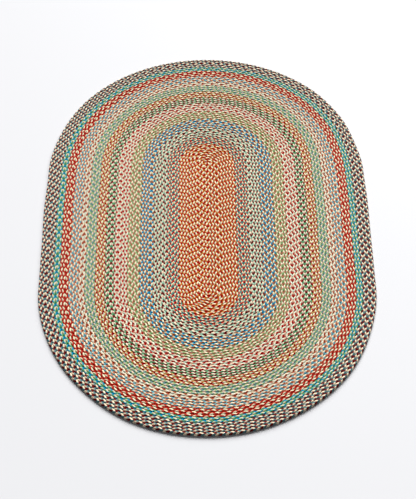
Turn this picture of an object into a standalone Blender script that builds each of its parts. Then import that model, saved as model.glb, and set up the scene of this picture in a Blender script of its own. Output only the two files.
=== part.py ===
"""Braided oval rug: one flat mat of 52 braided rounds about a straight starting length.

Metres, +Z up. The rug lies on the plane z = 0, its length along Y and its width along X, and the
middle of its box stands on the origin. Each round of braid shows as a rib in the upper face.
"""

import math

import bmesh
import bpy

# The oval, at the upper face
HALF_WIDTH = 0.6073  # middle of a long side to the middle of the rug
SPINE_HALF = 0.3152  # half the straight length, where the first round folds back on itself
SPINE_PULL = 0.072  # share of that length lost at the outermost round, as the ends round off
SPINE_ASIDE = 0.002  # how far the spine lies to the right of the outline's middle

# The braid
CREST = 0.0091  # height of a round along its middle
VALLEY = 0.0064  # height of the crease where two rounds are laced together
EDGE_HEIGHT = 0.0046  # height of the outermost round's widest line
EDGE_TUCK = 0.0026  # how far the underside lies inside that line
OUTER_CREST = 0.45  # where the outermost round is highest, in widths of braid in from its edge

# The bands of like yarns from the middle out. The last one ends at HALF_WIDTH.
BANDS = (
    # name, rounds, reach of its outer side from the spine in millimetres
    ("core", 9, 106.4),
    ("slate_rust", 4, 151.0),
    ("mint_maroon", 4, 200.6),
    ("teal_coral", 4, 249.8),
    ("fern_rose", 4, 294.0),
    ("red_cream", 4, 341.6),
    ("sea_maroon", 3, 374.8),
    ("brick_gold", 3, 409.0),
    ("fern_slate", 3, 444.0),
    ("rust_cream", 2, 467.8),
    ("sky_rose", 3, 501.8),
    ("brick_red", 3, 535.4),
    ("teal_fern", 2, 558.0),
    ("edge", 4, 607.3),
)

# Points round one ring
STRAIGHT_STEPS = 4  # along each long side
END_STEPS = 24  # round each end

# Unevenness of the outline: angle from +X about the middle in degrees, and how far the edge stands
# out (+) or in (-) there in millimetres. The rounds inside follow it less the nearer they are to
# the middle.
SWELL = (
    # angle, out
    (12.0, 2.4),
    (25.0, -0.6),
    (36.0, -7.0),
    (47.0, -2.0),
    (60.0, 2.6),
    (90.0, 0.3),
    (122.0, 0.6),
    (140.0, -3.9),
    (155.0, 1.9),
    (172.0, 7.6),
    (190.0, 4.5),
    (205.0, 3.2),
    (222.0, -1.9),
    (236.0, -2.0),
    (254.0, 3.5),
    (272.0, 1.4),
    (292.0, -1.6),
    (305.0, -2.0),
    (320.0, -7.1),
    (336.0, -2.2),
    (352.0, -0.2),
)

YARN_COLOUR = (0.43, 0.30, 0.20, 1.0)


def swell_at(angle):
    """How far the outline stands out at an angle about the middle, in metres."""
    degrees = math.degrees(angle) % 360.0
    first, last = SWELL[0], SWELL[-1]
    stops = ((last[0] - 360.0, last[1]),) + SWELL + ((first[0] + 360.0, first[1]),)
    for (low, out_low), (high, out_high) in zip(stops, stops[1:]):
        if low <= degrees < high:
            share = (degrees - low) / (high - low)
            ease = share * share * (3.0 - 2.0 * share)
            return (out_low + (out_high - out_low) * ease) / 1000.0
    return 0.0


def foot_and_normal(step):
    """The spine's share along Y (-1 to 1) and the outward direction of one point of a ring."""
    side = STRAIGHT_STEPS + END_STEPS
    half, at = divmod(step, side)
    turn = math.pi * half
    if at < STRAIGHT_STEPS:
        along, angle = -1.0 + 2.0 * at / STRAIGHT_STEPS, 0.0
    else:
        along, angle = 1.0, math.pi * (at - STRAIGHT_STEPS) / END_STEPS
    sign = -1.0 if half else 1.0
    return sign * along, (math.cos(angle + turn), math.sin(angle + turn))


def ring_point(step, reach):
    """Where the ring at this reach from the spine has this point, in X and Y."""
    along, (nx, ny) = foot_and_normal(step)
    share = reach / HALF_WIDTH
    spine = SPINE_HALF * (1.0 - SPINE_PULL * share)
    x, y = nx * reach, along * spine + ny * reach
    out = swell_at(math.atan2(y, x)) * share * share
    return x + nx * out + SPINE_ASIDE * (1.0 - share), y + ny * out


def creases():
    """Reaches of the creases on either side of every round, from the spine out."""
    reaches = [0.0]
    for _name, rounds, outer in BANDS:
        inner = reaches[-1]
        for number in range(1, rounds + 1):
            reaches.append(inner + (outer / 1000.0 - inner) * number / rounds)
    return reaches


def sections():
    """The rug's half section from its underside's edge to the spine: (reach, height)."""
    reaches = creases()
    rows = [(HALF_WIDTH - EDGE_TUCK, 0.0), (HALF_WIDTH, EDGE_HEIGHT)]
    for outer, inner in zip(reaches[:0:-1], reaches[-2::-1]):
        crest = OUTER_CREST if outer == reaches[-1] else 0.5
        rows.append((outer - crest * (outer - inner), CREST))
        rows.append((inner, VALLEY))
    return rows


def place_ring(verts, reach, height):
    for step, vert in enumerate(verts):
        x, y = ring_point(step, reach)
        vert.co = (x, y, height)


def rug_mesh():
    """One closed mesh: a flat underside, a rounded edge and a ribbed upper face."""
    bm = bmesh.new()
    count = 2 * (STRAIGHT_STEPS + END_STEPS)
    made = bmesh.ops.create_circle(bm, cap_ends=True, segments=count, radius=1.0)
    ring = list(made["verts"])
    rows = sections()
    place_ring(ring, *rows[0])
    bm.faces.ensure_lookup_table()
    underside = bm.faces[0]
    edges = list(underside.edges)
    for reach, height in rows[1:]:
        grown = bmesh.ops.extrude_edge_only(bm, edges=edges)
        new_verts = {item for item in grown["geom"] if isinstance(item, bmesh.types.BMVert)}
        edges = [
            item
            for item in grown["geom"]
            if isinstance(item, bmesh.types.BMEdge) and set(item.verts) <= new_verts
        ]
        follow = []
        for vert in ring:
            other = [e.other_vert(vert) for e in vert.link_edges]
            follow.append(next(item for item in other if item in new_verts))
        ring = follow
        place_ring(ring, reach, height)
    bmesh.ops.remove_doubles(bm, verts=ring, dist=0.00005)
    bmesh.ops.recalc_face_normals(bm, faces=bm.faces)
    low = [min(v.co[axis] for v in bm.verts) for axis in (0, 1)]
    high = [max(v.co[axis] for v in bm.verts) for axis in (0, 1)]
    middle = (-(low[0] + high[0]) / 2.0, -(low[1] + high[1]) / 2.0, 0.0)
    bmesh.ops.translate(bm, verts=bm.verts, vec=middle)
    mesh = bpy.data.meshes.new("braided_rug")
    bm.to_mesh(mesh)
    bm.free()
    return mesh


def yarn_material():
    material = bpy.data.materials.new("braided_yarn")
    material.use_nodes = True
    shader = material.node_tree.nodes["Principled BSDF"]
    shader.inputs["Base Color"].default_value = YARN_COLOUR
    shader.inputs["Roughness"].default_value = 0.95
    return material


def main():
    for obj in list(bpy.data.objects):
        bpy.data.objects.remove(obj, do_unlink=True)
    collection = bpy.data.collections.new("braided_oval_rug")
    bpy.context.scene.collection.children.link(collection)
    mesh = rug_mesh()
    mesh.materials.append(yarn_material())
    rug = bpy.data.objects.new("braided_rug", mesh)
    collection.objects.link(rug)
    for polygon in mesh.polygons:
        polygon.use_smooth = len(polygon.vertices) <= 4


main()
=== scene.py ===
"""Braided oval rug: 52 rounds of three-strand braid about a straight starting length, in 14 bands.

Metres, +Z up. The rug lies on z = 0 with its length along Y. Each band of like yarns is one piece.
"""

import math

import bmesh
import bpy
import numpy as np
from bpy.props import CollectionProperty, FloatProperty, FloatVectorProperty, PointerProperty
from mathutils import Matrix, Vector


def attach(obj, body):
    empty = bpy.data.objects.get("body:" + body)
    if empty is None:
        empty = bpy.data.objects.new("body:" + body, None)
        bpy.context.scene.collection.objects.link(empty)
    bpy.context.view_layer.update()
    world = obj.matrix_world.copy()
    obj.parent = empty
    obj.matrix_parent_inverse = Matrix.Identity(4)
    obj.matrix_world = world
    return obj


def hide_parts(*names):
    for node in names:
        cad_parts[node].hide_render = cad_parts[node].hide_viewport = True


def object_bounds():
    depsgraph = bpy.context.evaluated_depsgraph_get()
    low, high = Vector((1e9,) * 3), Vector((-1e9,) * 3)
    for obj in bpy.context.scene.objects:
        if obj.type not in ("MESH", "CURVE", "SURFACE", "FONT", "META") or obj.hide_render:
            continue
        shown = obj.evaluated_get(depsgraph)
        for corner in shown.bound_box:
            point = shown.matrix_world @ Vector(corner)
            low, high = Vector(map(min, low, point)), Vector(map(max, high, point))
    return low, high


bl_info = {
    "name": "Braided oval rug",
    "version": (1, 0, 0),
    "blender": (4, 5, 0),
    "location": "3D View > Sidebar > Rug",
    "description": "Builds an oval rug from rounds of three-strand braid, band by band",
    "category": "Object",
}

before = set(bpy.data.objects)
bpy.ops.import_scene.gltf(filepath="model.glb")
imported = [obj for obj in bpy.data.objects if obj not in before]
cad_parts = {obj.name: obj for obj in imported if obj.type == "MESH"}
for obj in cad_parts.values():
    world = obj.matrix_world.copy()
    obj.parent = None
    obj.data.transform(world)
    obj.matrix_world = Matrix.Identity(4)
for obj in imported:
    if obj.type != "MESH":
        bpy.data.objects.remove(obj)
CAD_BOX = [list(corner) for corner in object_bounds()]

# The bands from the middle out, with the colours of their yarns out of 255
BANDS = (
    # name, reach of its outer side from the spine and repeat in millimetres, the three strands
    ("core", 106.4, 34.9, (168, 10, 6), (187, 110, 34), (229, 220, 187)),
    ("slate_rust", 151.0, 32.0, (66, 131, 126), (176, 20, 12), (225, 210, 172)),
    ("mint_maroon", 200.6, 36.1, (229, 205, 178), (160, 196, 171), (103, 12, 12)),
    ("teal_coral", 249.8, 34.9, (0, 132, 170), (222, 216, 181), (158, 92, 51)),
    ("fern_rose", 294.0, 36.0, (172, 108, 83), (128, 160, 102), (231, 217, 188)),
    ("red_cream", 341.6, 34.9, (162, 12, 10), (221, 184, 157), (212, 223, 200)),
    ("sea_maroon", 374.8, 34.8, (116, 13, 13), (232, 212, 189), (90, 155, 108)),
    ("brick_gold", 409.0, 33.5, (161, 13, 13), (227, 222, 192), (184, 142, 80)),
    ("fern_slate", 444.0, 33.2, (103, 141, 140), (142, 172, 116), (223, 197, 173)),
    ("rust_cream", 467.8, 37.9, (160, 68, 37), (210, 211, 193), (220, 203, 173)),
    ("sky_rose", 501.8, 35.8, (183, 109, 79), (231, 213, 181), (96, 159, 172)),
    ("brick_red", 535.4, 38.7, (162, 36, 19), (176, 38, 23), (224, 217, 184)),
    ("teal_fern", 558.0, 37.1, (0, 136, 168), (210, 202, 170), (88, 148, 97)),
    ("edge", 607.3, 34.8, (104, 12, 12), (83, 120, 123), (232, 213, 183)),
)

# Where the third strand of each round comes up on the right and on the left side, in repeats
STARTS = {
    # band: right, left
    "core": (
        (0.34, 0.27, 0.35, 0.97, 0.63, 0.56, 0.44, 0.30, 0.42),
        (0.67, 0.55, 0.18, 0.53, 0.67, 0.87, 0.13, 0.06, 0.98),
    ),
    "slate_rust": ((0.66, 0.35, 0.82, 0.91), (0.12, 0.79, 0.45, 0.66)),
    "mint_maroon": ((0.82, 0.19, 0.26, 0.31), (0.38, 0.64, 0.39, 0.56)),
    "teal_coral": ((0.29, 0.04, 0.37, 0.54), (0.11, 0.63, 0.50, 0.47)),
    "fern_rose": ((0.36, 0.58, 0.04, 0.93), (0.44, 0.78, 0.58, 0.81)),
    "red_cream": ((0.19, 0.82, 0.53, 0.33), (0.97, 0.04, 0.65, 0.15)),
    "sea_maroon": ((0.81, 0.31, 0.76), (0.23, 0.72, 0.34)),
    "brick_gold": ((0.53, 0.00, 0.92), (0.75, 0.59, 0.82)),
    "fern_slate": ((0.91, 0.13, 0.38), (0.16, 0.94, 0.27)),
    "rust_cream": ((0.16, 0.92), (0.09, 0.68)),
    "sky_rose": ((0.38, 0.21, 0.83), (0.33, 0.19, 0.47)),
    "brick_red": ((0.14, 0.88, 0.83), (0.81, 0.14, 0.13)),
    "teal_fern": ((0.17, 0.10), (0.92, 0.44)),
    "edge": ((0.79, 0.21, 0.84, 0.52), (0.59, 0.37, 0.96, 0.82)),
}

# Unevenness of the outline: angle from +X about the middle in degrees, and how far the edge stands
# out (+) or in (-) there in millimetres
SWELL = (
    # angle, out
    (12.0, 2.4),
    (25.0, -0.6),
    (36.0, -7.0),
    (47.0, -2.0),
    (60.0, 2.6),
    (90.0, 0.3),
    (122.0, 0.6),
    (140.0, -3.9),
    (155.0, 1.9),
    (172.0, 7.6),
    (190.0, 4.5),
    (205.0, 3.2),
    (222.0, -1.9),
    (236.0, -2.0),
    (254.0, 3.5),
    (272.0, 1.4),
    (292.0, -1.6),
    (305.0, -2.0),
    (320.0, -7.1),
    (336.0, -2.2),
    (352.0, -0.2),
)
DEGREES = np.arange(361.0)
RIM_POINTS = 2000  # points round the outline that its middle is found from

# The rounds' slow wander: two ripples over the rug, which die away at the spine and at the edge
RIPPLES = (
    # radians for each metre in X and in Y, radians at the middle
    (31.0, 17.0, 1.0),
    (-23.0, 41.0, 4.0),
)
CALM = 6.0  # they have their full size 1/6 of the way in from either

# One braid across its upper side, from its left edge to its right edge
ACROSS = (
    # place, height, crease depth, crease draw-in, weave: shares of the half width or of the height
    (-1.00, 0.76, 0.12, 0.06, 0.0),
    (-0.74, 0.95, 0.19, 0.03, 0.0),
    (-0.38, 1.00, 0.20, 0.00, 0.3),
    (0.00, 0.95, 0.00, 0.00, 1.0),
    (0.38, 1.00, 0.20, 0.00, 0.3),
    (0.74, 0.95, 0.19, 0.03, 0.0),
    (1.00, 0.76, 0.12, 0.06, 0.0),
)
UNDERSIDE = (0.00, 0.00, 0.00, 0.00, 0.0)  # the same for the middle of the underside
RIM_HEIGHTS = (0.80, 0.38)  # the last two heights on the rug's own edge, which is rounded off
HALF_BRAID = 0.497  # half a width of braid, less a hair so that two rounds never share a point

# The flat grid that a round is shaped from: columns run along the round and rows go across it.
# Columns 0 and COLUMNS are the middle of the underside, and 1 is the left edge.
COLUMNS = len(ACROSS) + 1
MIDDLE = COLUMNS // 2  # the column along the middle of the upper side
LOBE_ROWS = 4
LOBE = (0.0, 0.82, 1.0, 0.82)  # roundness of a lobe from one crease to the next, a row each
STRANDS = 3
REPEAT_ROWS = STRANDS * LOBE_ROWS  # each strand shows once on each side in a repeat
RAMP_INSET = 0.1  # a strand's number falls this far inside its own third of the colour ramp
MERGE = 0.00002  # points nearer than this are one

# Numbers that tell lobes apart where chance sets their size, tone and fibres
BAND_MARK = 100
SIDE_MARK = 1000
ROUND_MARK = 100000
FIBRE_SALT = 3
NUMBER_STEP, SALT_STEP, SPREAD = 12.9898, 78.233, 43758.5453  # of the sine that scatters them

# The map along and across a strand, in widths of strand
STRAND_RUN = 1.6  # how far a strand runs from the braid's edge to its middle
UNDERSIDE_PLACE = 2.0  # place of the underside's middle, past the edge, for this map alone
STRAND_SHIFT = 4.0  # most that a lobe's fibres start further along

# The map that lays the rounds out flat for baking
GIRTH = 2.4  # a strip's width, in widths of braid
STRIP_GAP = 0.02  # metres left free at a strip's end
STRIP_MARGIN = 0.05  # share of a strip's width left free on each side

# A spun strand: fine yarns that lie side by side and turn slowly round it
PLIES = 5.0
PLY_TURN = -0.5  # plies for each width of strand along it
PLY_ROUNDNESS = 0.6
FURROW_SHADE = (0.22, 0.82)  # painted shade from the furrows between plies to their ridges: how much brighter, and the least
TONES = (0.2, 0.76)  # brightness from lobe to lobe: how much more, and the least
GRAIN = 0.28  # how much more that fibres add to it
FIBRES = (4.0, 6.0)  # for each width of strand along it, for each ply across it
FIBRE_HEIGHT = 0.5  # of a ply's height
CREASE_WIDTH = 0.12  # how far the painted shade beside the next lobe reaches, in widths of strand
# how dark the painted shade is right at the crease
CREASE_SHADE = 0.7

# The camera: millimetres, metres and degrees, for a frame of 416 by 499
LENS = 95.84
CAMERA_AT = (-0.0445, -3.1723, 3.8159)
CAMERA_DOWN = 51.218
CAMERA_YAW = 0.8595
CAMERA_ROLL = 0.289

LIGHTS = (
    # name, kind, place, width, watts (for each square metre where it is a sun)
    ("back_light", "SUN", (0.0, 19.8, 11.4), 13.0, 6.15),
    ("fill_light", "AREA", (3.0, 3.0, 2.6), 2.0, 105.0),
)
SKY_COLOUR = (0.95, 0.97, 1.0)
FLOOR_HALF = 40.0  # half the floor's width
FLOOR_GAP = 0.0003  # from the floor up to the rug


def linear(colour):
    """A colour out of 255 as Blender's linear values."""
    shares = [value / 255.0 for value in colour]
    return tuple(c / 12.92 if c <= 0.04045 else ((c + 0.055) / 1.055) ** 2.4 for c in shares)


class RoundStart(bpy.types.PropertyGroup):
    right: FloatProperty(
        name="Right",
        description="Where the third strand comes up on the right side, in repeats",
        default=0.0,
        min=0.0,
        max=1.0,
        subtype="FACTOR",
    )
    left: FloatProperty(
        name="Left",
        description="Where the third strand comes up on the left side, in repeats",
        default=0.0,
        min=0.0,
        max=1.0,
        subtype="FACTOR",
    )


class BandYarn(bpy.types.PropertyGroup):
    rounds: CollectionProperty(
        type=RoundStart,
        name="Rounds",
        description="Rounds of braid in this band, from the inside out",
    )
    reach: FloatProperty(
        name="Reach",
        description="Distance of the band's outer side from the spine",
        default=0.1,
        min=0.01,
        subtype="DISTANCE",
        unit="LENGTH",
    )
    repeat: FloatProperty(
        name="Repeat",
        description="Length of braid in which each strand comes round once",
        default=0.035,
        min=0.01,
        subtype="DISTANCE",
        unit="LENGTH",
    )
    first: FloatVectorProperty(
        name="First strand",
        description="Colour of the first strand",
        default=linear((180, 20, 15)),
        size=3,
        min=0.0,
        max=1.0,
        subtype="COLOR",
    )
    second: FloatVectorProperty(
        name="Second strand",
        description="Colour of the second strand",
        default=linear((205, 150, 80)),
        size=3,
        min=0.0,
        max=1.0,
        subtype="COLOR",
    )
    third: FloatVectorProperty(
        name="Third strand",
        description="Colour of the third strand",
        default=linear((235, 222, 188)),
        size=3,
        min=0.0,
        max=1.0,
        subtype="COLOR",
    )


class RugSettings(bpy.types.PropertyGroup):
    half_width: FloatProperty(
        name="Half width",
        description="Middle of the rug to the middle of a long side",
        default=0.6073,
        subtype="DISTANCE",
        unit="LENGTH",
    )
    spine_half: FloatProperty(
        name="Half spine",
        description="Half the straight length, where the first round folds back on itself",
        default=0.3152,
        subtype="DISTANCE",
        unit="LENGTH",
    )
    spine_pull: FloatProperty(
        name="Spine pull",
        description="Share of the straight length lost at the outermost round",
        default=0.072,
        subtype="FACTOR",
    )
    aside: FloatProperty(
        name="Aside",
        description="How far the spine lies to the right of the rug's middle",
        default=0.002,
        subtype="DISTANCE",
        unit="LENGTH",
    )
    thickness: FloatProperty(
        name="Thickness",
        description="Height of a round along its middle",
        default=CAD_BOX[1][2] - CAD_BOX[0][2],
        subtype="DISTANCE",
        unit="LENGTH",
    )
    slant: FloatProperty(
        name="Slant",
        description="How far along a strand runs from the edge to the middle, in repeats",
        default=0.15,
        subtype="FACTOR",
    )
    weave: FloatProperty(
        name="Weave",
        description="How far the strands cross past the braid's middle, in half widths",
        default=0.22,
        subtype="FACTOR",
    )
    unevenness: FloatProperty(
        name="Unevenness",
        description="How far the rounds wander sideways",
        default=0.0006,
        subtype="DISTANCE",
        unit="LENGTH",
    )
    lumpiness: FloatProperty(
        name="Lumpiness",
        description="How much the lobes differ in height",
        default=0.07,
        subtype="FACTOR",
    )
    bands: CollectionProperty(
        type=BandYarn,
        name="Bands",
        description="Bands of like yarns, from the middle out",
    )


class StageSettings(bpy.types.PropertyGroup):
    floor_colour: FloatVectorProperty(
        name="Floor",
        description="Colour of the floor",
        default=linear((214, 214, 216)),
        size=3,
        min=0.0,
        max=1.0,
        subtype="COLOR",
    )
    light: FloatProperty(
        name="Light",
        description="Strength of both lights",
        default=1.05,
    )
    sky: FloatProperty(
        name="Sky",
        description="Strength of the light from all round",
        default=0.14,
    )


# ---------------------------------------------------------------- laying out the rounds


def swell_samples():
    """The outline's unevenness in metres at each degree from 0 to 360."""
    angles = np.array([angle for angle, _out in SWELL])
    outs = np.array([out for _angle, out in SWELL]) / 1000.0
    angles = np.concatenate([[angles[-1] - 360.0], angles, [angles[0] + 360.0]])
    outs = np.concatenate([[outs[-1]], outs, [outs[0]]])
    low = np.searchsorted(angles, DEGREES, side="right") - 1
    share = (DEGREES - angles[low]) / (angles[low + 1] - angles[low])
    ease = share * share * (3.0 - 2.0 * share)
    return outs[low] + (outs[low + 1] - outs[low]) * ease


class RugPlan:
    """Where things lie on the oval, by their distance along a round and its reach from the spine.

    A round starts at the near end of its right side and runs away from the viewer.
    """

    def __init__(self, settings):
        self.settings = settings
        self.swell = swell_samples()
        self.middle = (0.0, 0.0)
        rim = np.linspace(0.0, self.length(settings.half_width), RIM_POINTS)
        x, y = self.place(rim, settings.half_width, 0.0 * rim)
        self.middle = ((x.min() + x.max()) / 2.0, (y.min() + y.max()) / 2.0)

    def spine(self, reach):
        """Half the straight length of the round at this reach."""
        rug = self.settings
        return rug.spine_half * (1.0 - rug.spine_pull * reach / rug.half_width)

    def length(self, reach):
        return 4.0 * self.spine(reach) + 2.0 * math.pi * reach

    def knots(self, reach, start, repeat):
        """Repeats counted at the right side, the left and the right again, and distances there."""
        spine, length = self.spine(reach), self.length(reach)
        first = spine - start.right * repeat
        second = length / 2.0 + spine + start.left * repeat
        near = max(1, round((second - first) / repeat))
        far = max(1, round((first + length - second) / repeat))
        return np.array([0.0, near, near + far]), np.array([first, second, first + length])

    def place(self, distance, reach, aside):
        """X and Y of points at distances along the round at this reach, moved aside from it."""
        spine = self.spine(reach)
        half_length = 2.0 * spine + math.pi * reach
        half = np.floor(distance / half_length)
        rest = distance - half * half_length
        along = np.minimum(rest / spine - 1.0, 1.0) * (1.0 - 2.0 * (half % 2.0))
        angle = np.maximum(rest - 2.0 * spine, 0.0) / reach + math.pi * half
        out = reach + aside
        x = np.cos(angle) * out
        y = np.sin(angle) * out + along * self.spine(out)
        return self.uneven(x, y, np.cos(angle), np.sin(angle), out / self.settings.half_width)

    def uneven(self, x, y, nx, ny, share):
        """The same points with the outline's swells, the rounds' wander and the box centred."""
        degrees = np.degrees(np.arctan2(y, x)) % 360.0
        out = np.interp(degrees, DEGREES, self.swell) * share * share
        ripple = sum(np.sin(in_x * x + in_y * y + start) for in_x, in_y, start in RIPPLES)
        calm = np.minimum(1.0, CALM * np.minimum(np.abs(1.0 - share), np.abs(share)))
        out = out + self.settings.unevenness * ripple * calm
        x = x + self.settings.aside * (1.0 - share)
        return x + nx * out - self.middle[0], y + ny * out - self.middle[1]


class BraidRound:
    """One round of a band: where it lies, its whole repeats and its seed for chance."""

    def __init__(self, plan, band, start, reach, width, seed):
        rug = plan.settings
        self.reach = reach
        self.width = width
        self.seed = seed
        self.length = plan.length(reach)
        self.on_rim = reach + width > rug.half_width
        self.counts, self.distances = plan.knots(reach, start, band.repeat)
        self.repeats = round(self.counts[-1])
        # Repeats from the first row to where the third strand comes up, 2.5 lobes along
        self.start = 2.5 / STRANDS + rug.slant / 2.0


def chance(number, salt):
    """An even spread of values from 0 to 1, the same each time, for whole numbers."""
    value = np.sin(number * NUMBER_STEP + salt * SALT_STEP) * SPREAD
    return value - np.floor(value)


def flat_braids(rounds):
    """A mesh of one flat grid for each round, where x is the row, y the column and z the round."""
    bm = bmesh.new()
    for number, braid in enumerate(rounds):
        rows = braid.repeats * REPEAT_ROWS
        at = Matrix.Translation((rows / 2.0, COLUMNS / 2.0, float(number)))
        stretch = Matrix.Diagonal((float(rows), float(COLUMNS), 1.0, 1.0))
        bmesh.ops.create_grid(
            bm, x_segments=rows, y_segments=COLUMNS, size=0.5, matrix=at @ stretch
        )
    mesh = bpy.data.meshes.new("flat_braids")
    bm.to_mesh(mesh)
    bm.free()
    return mesh


class FlatGrid:
    """The row, column and round of each point and face of the flat grids."""

    def __init__(self, mesh):
        places = np.empty(len(mesh.vertices) * 3, np.float32)
        mesh.vertices.foreach_get("co", places)
        self.row, self.column, self.number = np.rint(places.reshape(-1, 3)).astype(int).T
        corners = np.empty(len(mesh.loops), np.int32)
        mesh.loops.foreach_get("vertex_index", corners)
        self.corners = corners.reshape(-1, 4)
        self.face_row = self.row[self.corners].min(axis=1)
        self.face_column = self.column[self.corners].min(axis=1)
        self.face_number = self.number[self.corners].min(axis=1)

    def lobes(self):
        """Which lobe each face belongs to, its first row, and which of the strands it is."""
        left = self.face_column < MIDDLE
        shift = np.where(left, 0, LOBE_ROWS // 2)
        lobe = (self.face_row + shift) // LOBE_ROWS
        strand = np.where(left, lobe, lobe + 1) % STRANDS
        return lobe, lobe * LOBE_ROWS - shift, strand


def shape_round(rug, braid, row, column):
    """How far aside, how high and at which place across the braid each point is."""
    table = np.array(ACROSS + (UNDERSIDE,))
    if braid.on_rim:
        table[COLUMNS - 3 : COLUMNS - 1, 1] = RIM_HEIGHTS
    place, height, depth, draw, weave = table[(column - 1) % COLUMNS].T
    left = (column > 0) & (column < MIDDLE)
    shift = np.where(left, 0, LOBE_ROWS // 2)
    round_off = 1.0 - np.array(LOBE)[(row + shift) % LOBE_ROWS]
    lobe = (row + shift) // LOBE_ROWS % (braid.repeats * STRANDS)
    lump = chance(lobe + SIDE_MARK * left, braid.seed) - 0.5
    size = 1.0 + rug.lumpiness * lump * (1.0 - round_off)
    across = place * (1.0 - draw * round_off)
    across = across - rug.weave * weave * np.cos(2.0 * math.pi * row / LOBE_ROWS)
    crease = depth * np.where(column == MIDDLE, 0.0, round_off)
    height = np.where(column % COLUMNS > 0, (height - crease) * size, 0.0)
    return across * HALF_BRAID * braid.width, height * rug.thickness, place


def lay_round(plan, braid, row, column):
    """Points of one round of braid, from their rows and columns on the flat grid."""
    rug = plan.settings
    aside, z, place = shape_round(rug, braid, row, column)
    turn = row / REPEAT_ROWS + rug.slant * (1.0 - np.abs(place)) - braid.start
    whole = np.floor(turn / braid.repeats)
    distance = np.interp(turn - whole * braid.repeats, braid.counts, braid.distances)
    distance = (distance + whole * braid.length) % braid.length
    x, y = plan.place(distance, braid.reach, aside)
    return np.stack([x, y, z], axis=1)


def braid_piece(plan, rounds, name):
    """One band of braid as a closed mesh."""
    mesh = flat_braids(rounds)
    grid = FlatGrid(mesh)
    lobe, first_row, strand = grid.lobes()
    total = np.array([braid.repeats for braid in rounds])[grid.face_number] * STRANDS
    mark = (lobe % total) * 2 + (grid.face_column < MIDDLE) + grid.face_number * ROUND_MARK
    lay_strand_map(mesh, grid, first_row, mark)
    lay_bake_map(mesh, grid, rounds)
    write_faces(mesh, "strand", "FLOAT", strand / STRANDS + RAMP_INSET)
    write_faces(mesh, "tone", "FLOAT", chance(mark, rounds[0].seed))
    write_faces(mesh, "lobe", "INT", mark)

    points = np.zeros((len(grid.row), 3))
    for number, braid in enumerate(rounds):
        here = grid.number == number
        points[here] = lay_round(plan, braid, grid.row[here], grid.column[here])
    mesh.vertices.foreach_set("co", points.astype(np.float32).ravel())
    return close_braids(mesh, name)


def write_faces(mesh, name, kind, values):
    layer = mesh.attributes.new(name, kind, "FACE")
    layer.data.foreach_set("value", values.astype(np.int32 if kind == "INT" else np.float32))


def write_map(mesh, name, u, v):
    layer = mesh.uv_layers.new(name=name)
    layer.data.foreach_set("uv", np.stack([u, v], axis=-1).astype(np.float32).ravel())


def lay_strand_map(mesh, grid, first_row, mark):
    """A map of every lobe as a length of strand: U along the strand and V across it."""
    places = np.array([stop[0] for stop in ACROSS] + [UNDERSIDE_PLACE])
    run = 1.0 - np.abs(places[(grid.column - 1) % COLUMNS])
    u = STRAND_RUN * run[grid.corners] + STRAND_SHIFT * chance(mark, FIBRE_SALT)[:, None]
    v = (grid.row[grid.corners] - first_row[:, None]) / LOBE_ROWS
    write_map(mesh, "Strand", u, v)


def lay_bake_map(mesh, grid, rounds):
    """A second map that lays every round out flat in strips, none over another."""
    lengths = np.array([braid.length for braid in rounds])
    starts = np.concatenate([[0.0], np.cumsum(lengths)])
    step = lengths / (np.array([braid.repeats for braid in rounds]) * REPEAT_ROWS)
    strips = max(1, math.ceil(math.sqrt(starts[-1] / (GIRTH * rounds[0].width))))
    strip_length = starts[-1] / strips
    start, step = starts[grid.face_number], step[grid.face_number]
    strip = np.minimum((start + grid.face_row * step) // strip_length, strips - 1)
    at = start[:, None] + grid.row[grid.corners] * step[:, None]
    u = (at - strip[:, None] * strip_length) / (strip_length + STRIP_GAP)
    girth_at = grid.column[grid.corners] / COLUMNS
    v = (strip[:, None] + STRIP_MARGIN + (1.0 - 2.0 * STRIP_MARGIN) * girth_at) / strips
    write_map(mesh, "OFBake", u, v)


def close_braids(mesh, name):
    """Joins each round's ends and sides, creases it between lobes and turns its faces out."""
    bm = bmesh.new()
    bm.from_mesh(mesh)
    bpy.data.meshes.remove(mesh)
    bmesh.ops.remove_doubles(bm, verts=bm.verts, dist=MERGE)
    bmesh.ops.recalc_face_normals(bm, faces=bm.faces)
    lobe = bm.faces.layers.int["lobe"]
    for face in bm.faces:
        face.smooth = True
    for edge in bm.edges:
        first, second = edge.link_faces
        edge.smooth = first[lobe] == second[lobe]
    bm.faces.layers.int.remove(lobe)
    made = bpy.data.meshes.new(name)
    bm.to_mesh(made)
    bm.free()
    return made


# ---------------------------------------------------------------- materials


def add_node(tree, kind, at, **values):
    node = tree.nodes.new(kind)
    node.location = at
    for key, value in values.items():
        setattr(node, key, value)
    return node


def math_node(tree, at, operation, *values):
    """A Math node fed by sockets or numbers."""
    node = add_node(tree, "ShaderNodeMath", at, operation=operation)
    for socket, value in zip(node.inputs, values):
        if isinstance(value, float):
            socket.default_value = value
        else:
            tree.links.new(value, socket)
    return node.outputs[0]


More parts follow.
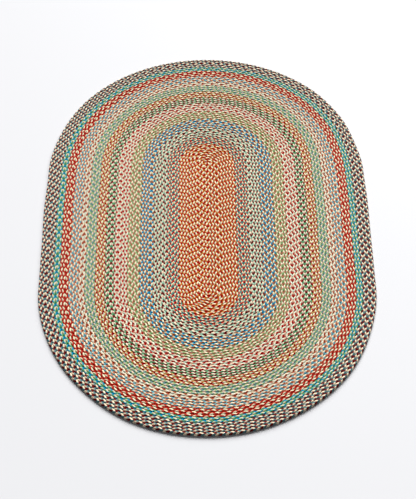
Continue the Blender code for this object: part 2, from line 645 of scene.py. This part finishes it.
def yarn_group():
    """Colour and height of a spun strand, from its own map, its colour and its tone."""
    tree = bpy.data.node_groups.new("spun_strand", "ShaderNodeTree")
    sides = (
        ("Yarn", "INPUT", "NodeSocketColor"),
        ("Tone", "INPUT", "NodeSocketFloat"),
        ("Colour", "OUTPUT", "NodeSocketColor"),
        ("Height", "OUTPUT", "NodeSocketFloat"),
    )
    for title, side, kind in sides:
        tree.interface.new_socket(name=title, in_out=side, socket_type=kind)
    given = add_node(tree, "NodeGroupInput", (-1400, 0))
    result = add_node(tree, "NodeGroupOutput", (900, 0))
    strand = add_node(tree, "ShaderNodeUVMap", (-1400, -300), uv_map="Strand")
    parts = add_node(tree, "ShaderNodeSeparateXYZ", (-1200, -300))
    tree.links.new(strand.outputs[0], parts.inputs[0])
    along, across = parts.outputs[0], parts.outputs[1]

    # The plies' ridges and furrows
    turn = math_node(tree, (-1000, -480), "MULTIPLY", along, PLY_TURN)
    ply_at = math_node(tree, (-800, -300), "MULTIPLY_ADD", across, PLIES, turn)
    ridge = math_node(tree, (-600, -300), "PINGPONG", ply_at, 0.5)
    ridge = math_node(tree, (-400, -300), "MULTIPLY", ridge, 2.0)
    ridge = math_node(tree, (-200, -300), "POWER", ridge, PLY_ROUNDNESS)

    # Fibres, drawn out along the strand
    stretch = add_node(tree, "ShaderNodeCombineXYZ", (-800, -620))
    for number, (run, often) in enumerate(zip((along, ply_at), FIBRES)):
        scaled = math_node(tree, (-1000, -620 - 180 * number), "MULTIPLY", run, often)
        tree.links.new(scaled, stretch.inputs[number])
    fibre = add_node(tree, "ShaderNodeTexNoise", (-600, -620))
    fibre.inputs["Scale"].default_value = 1.0
    fibre.inputs["Detail"].default_value = 3.0
    tree.links.new(stretch.outputs[0], fibre.inputs["Vector"])

    # Painted shade: the colour darkens in the crease beside the next lobe
    edge = math_node(tree, (-1000, 300), "PINGPONG", across, 0.5)
    crease = add_node(tree, "ShaderNodeMapRange", (-800, 300), interpolation_type="SMOOTHSTEP")
    crease.inputs["From Min"].default_value = 0.0
    crease.inputs["From Max"].default_value = CREASE_WIDTH
    crease.inputs["To Min"].default_value = CREASE_SHADE
    crease.inputs["To Max"].default_value = 1.0
    tree.links.new(edge, crease.inputs["Value"])

    tone = math_node(tree, (-600, 80), "MULTIPLY_ADD", given.outputs["Tone"], *TONES)
    shade = math_node(tree, (-400, 80), "MULTIPLY_ADD", fibre.outputs[0], GRAIN, tone)
    # Painted shade: the colour is darker in the furrows between plies
    furrow_shade = math_node(tree, (0, -300), "MULTIPLY_ADD", ridge, *FURROW_SHADE)
    shade = math_node(tree, (200, 80), "MULTIPLY", shade, furrow_shade)
    # painted crease shade darkens the colour at both ends of each lobe
    shade = math_node(tree, (400, 80), "MULTIPLY", shade, crease.outputs[0])
    tint = add_node(tree, "ShaderNodeVectorMath", (600, 80), operation="SCALE")
    tree.links.new(given.outputs["Yarn"], tint.inputs[0])
    tree.links.new(shade, tint.inputs["Scale"])
    tree.links.new(tint.outputs[0], result.inputs["Colour"])
    height = math_node(tree, (200, -400), "MULTIPLY_ADD", fibre.outputs[0], FIBRE_HEIGHT, ridge)
    tree.links.new(height, result.inputs["Height"])
    return tree


def yarn_material(band, name, group):
    """The three strands of one band's braid."""
    material = bpy.data.materials.new(name)
    material.use_nodes = True
    tree = material.node_tree
    shader = tree.nodes["Principled BSDF"]
    shader.inputs["Roughness"].default_value = 0.92
    shader.inputs["Specular IOR Level"].default_value = 0.08
    which = add_node(tree, "ShaderNodeAttribute", (-1200, 200), attribute_name="strand")
    pick = add_node(tree, "ShaderNodeValToRGB", (-1000, 200))
    ramp = pick.color_ramp
    ramp.interpolation = "CONSTANT"
    ramp.elements[0].position = 0.0
    ramp.elements[0].color = (*band.first, 1.0)
    ramp.elements[1].position = 1.0 / STRANDS
    ramp.elements[1].color = (*band.second, 1.0)
    ramp.elements.new(2.0 / STRANDS).color = (*band.third, 1.0)
    tree.links.new(which.outputs["Fac"], pick.inputs[0])
    tone = add_node(tree, "ShaderNodeAttribute", (-1000, -100), attribute_name="tone")
    spun = add_node(tree, "ShaderNodeGroup", (-600, 100), node_tree=group)
    tree.links.new(pick.outputs[0], spun.inputs["Yarn"])
    tree.links.new(tone.outputs["Fac"], spun.inputs["Tone"])
    tree.links.new(spun.outputs["Colour"], shader.inputs["Base Color"])
    bump = add_node(tree, "ShaderNodeBump", (-300, -200))
    bump.inputs["Strength"].default_value = 0.5
    bump.inputs["Distance"].default_value = 0.0004
    tree.links.new(spun.outputs["Height"], bump.inputs["Height"])
    tree.links.new(bump.outputs[0], shader.inputs["Normal"])
    return material


# ---------------------------------------------------------------- the stage


def floor_paint(colour):
    """Matt paint for the floor."""
    paint = bpy.data.materials.new("floor_paint")
    paint.use_nodes = True
    shader = paint.node_tree.nodes["Principled BSDF"]
    shader.inputs["Base Color"].default_value = (*colour, 1.0)
    shader.inputs["Roughness"].default_value = 0.8
    shader.inputs["Specular IOR Level"].default_value = 0.1
    return paint


def lay_floor(scene, colour):
    """A plain floor just under the rug."""
    bm = bmesh.new()
    bmesh.ops.create_grid(bm, x_segments=1, y_segments=1, size=FLOOR_HALF)
    bmesh.ops.translate(bm, verts=bm.verts, vec=(0.0, 0.0, -FLOOR_GAP))
    mesh = bpy.data.meshes.new("floor")
    bm.to_mesh(mesh)
    bm.free()
    mesh.materials.append(floor_paint(colour))
    floor = bpy.data.objects.new("floor", mesh)
    scene.collection.objects.link(floor)


def hang_lights(scene, strength):
    """The lights, each turned to the middle of the rug."""
    for name, kind, at, width, watts in LIGHTS:
        light = bpy.data.lights.new(name, kind)
        light.energy = strength * watts
        if kind == "SUN":
            light.angle = width / Vector(at).length
        else:
            light.shape = "DISK"
            light.size = width
        lamp = bpy.data.objects.new(name, light)
        lamp.location = at
        lamp.rotation_euler = (-lamp.location).to_track_quat("-Z", "Y").to_euler()
        scene.collection.objects.link(lamp)


def spread_sky(scene, strength):
    """A pale light from all round."""
    world = bpy.data.worlds.new("sky")
    world.use_nodes = True
    backing = world.node_tree.nodes["Background"]
    backing.inputs["Color"].default_value = (*SKY_COLOUR, 1.0)
    backing.inputs["Strength"].default_value = strength
    scene.world = world


def aim_camera(scene):
    """The camera, moved along with the rug, whose box was centred."""
    lens = bpy.data.cameras.new("camera")
    lens.lens = LENS
    lens.clip_end = 100.0
    camera = bpy.data.objects.new("camera", lens)
    turn = Matrix.Rotation(-math.radians(CAMERA_YAW), 4, "Z")
    tilt = Matrix.Rotation(math.radians(90.0 - CAMERA_DOWN), 4, "X")
    roll = Matrix.Rotation(math.radians(CAMERA_ROLL), 4, "Z")
    at = Vector(CAMERA_AT) - Vector((*RugPlan(scene.rug).middle, 0.0))
    camera.matrix_world = Matrix.Translation(at) @ turn @ tilt @ roll
    scene.collection.objects.link(camera)
    scene.camera = camera


# ---------------------------------------------------------------- operators


class RUG_OT_list_bands(bpy.types.Operator):
    """List the rug's bands with their yarns, from the middle out"""

    bl_idname = "rug.list_bands"
    bl_label = "List bands"

    def execute(self, context):
        bands = context.scene.rug.bands
        bands.clear()
        for name, reach, repeat, *strands in BANDS:
            band = bands.add()
            band.name = name
            band.reach = reach / 1000.0
            band.repeat = repeat / 1000.0
            for right, left in zip(*STARTS[name]):
                start = band.rounds.add()
                start.right, start.left = right, left
            band.first, band.second, band.third = (linear(colour) for colour in strands)
        return {"FINISHED"}


class RUG_OT_braid_bands(bpy.types.Operator):
    """Braid every band of the rug as a closed piece in its own yarns"""

    bl_idname = "rug.braid_bands"
    bl_label = "Braid bands"

    def execute(self, context):
        settings = context.scene.rug
        if not settings.bands:
            raise RuntimeError("the rug has no bands listed")
        plan = RugPlan(settings)
        group = yarn_group()
        inner = 0.0
        for index, band in enumerate(settings.bands):
            width = (band.reach - inner) / len(band.rounds)
            rounds = []
            for number, start in enumerate(band.rounds):
                reach = inner + (number + 0.5) * width
                seed = BAND_MARK * index + number
                rounds.append(BraidRound(plan, band, start, reach, width, seed))
            inner = band.reach
            name = f"band_{index + 1:02d}_{band.name}"
            mesh = braid_piece(plan, rounds, name)
            mesh.materials.append(yarn_material(band, f"yarn_{band.name}", group))
            piece = bpy.data.objects.new(name, mesh)
            context.scene.collection.objects.link(piece)
            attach(piece, "root")
            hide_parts("braided_rug")
        return {"FINISHED"}


class RUG_OT_set_stage(bpy.types.Operator):
    """Set the rug on a pale floor in soft light, with the camera above one end"""

    bl_idname = "rug.set_stage"
    bl_label = "Set stage"

    def execute(self, context):
        scene = context.scene
        look = scene.rug_stage
        lay_floor(scene, look.floor_colour)
        hang_lights(scene, look.light)
        spread_sky(scene, look.sky)
        aim_camera(scene)
        scene.view_settings.view_transform = "Standard"
        return {"FINISHED"}


class RUG_PT_panel(bpy.types.Panel):
    """The rug's sizes, yarns and stage, with the operators that make them"""

    bl_idname = "RUG_PT_panel"
    bl_label = "Braided oval rug"
    bl_space_type = "VIEW_3D"
    bl_region_type = "UI"
    bl_category = "Rug"

    def draw(self, context):
        layout = self.layout
        layout.operator("rug.list_bands")
        for name in RugSettings.__annotations__:
            if name != "bands":
                layout.prop(context.scene.rug, name)
        for band in context.scene.rug.bands:
            line = layout.row(align=True)
            line.label(text=band.name)
            for name in BandYarn.__annotations__:
                if name != "rounds":
                    line.prop(band, name, text="")
        layout.operator("rug.braid_bands")
        for name in StageSettings.__annotations__:
            layout.prop(context.scene.rug_stage, name)
        layout.operator("rug.set_stage")


CLASSES = (
    RoundStart,
    BandYarn,
    RugSettings,
    StageSettings,
    RUG_OT_list_bands,
    RUG_OT_braid_bands,
    RUG_OT_set_stage,
    RUG_PT_panel,
)


def register():
    for cls in CLASSES:
        bpy.utils.register_class(cls)
    bpy.types.Scene.rug = PointerProperty(type=RugSettings)
    bpy.types.Scene.rug_stage = PointerProperty(type=StageSettings)


def unregister():
    del bpy.types.Scene.rug_stage
    del bpy.types.Scene.rug
    for cls in reversed(CLASSES):
        bpy.utils.unregister_class(cls)


def main():
    register()
    bpy.ops.rug.list_bands()
    bpy.ops.rug.braid_bands()
    bpy.ops.rug.set_stage()


if __name__ == "__main__":
    main()
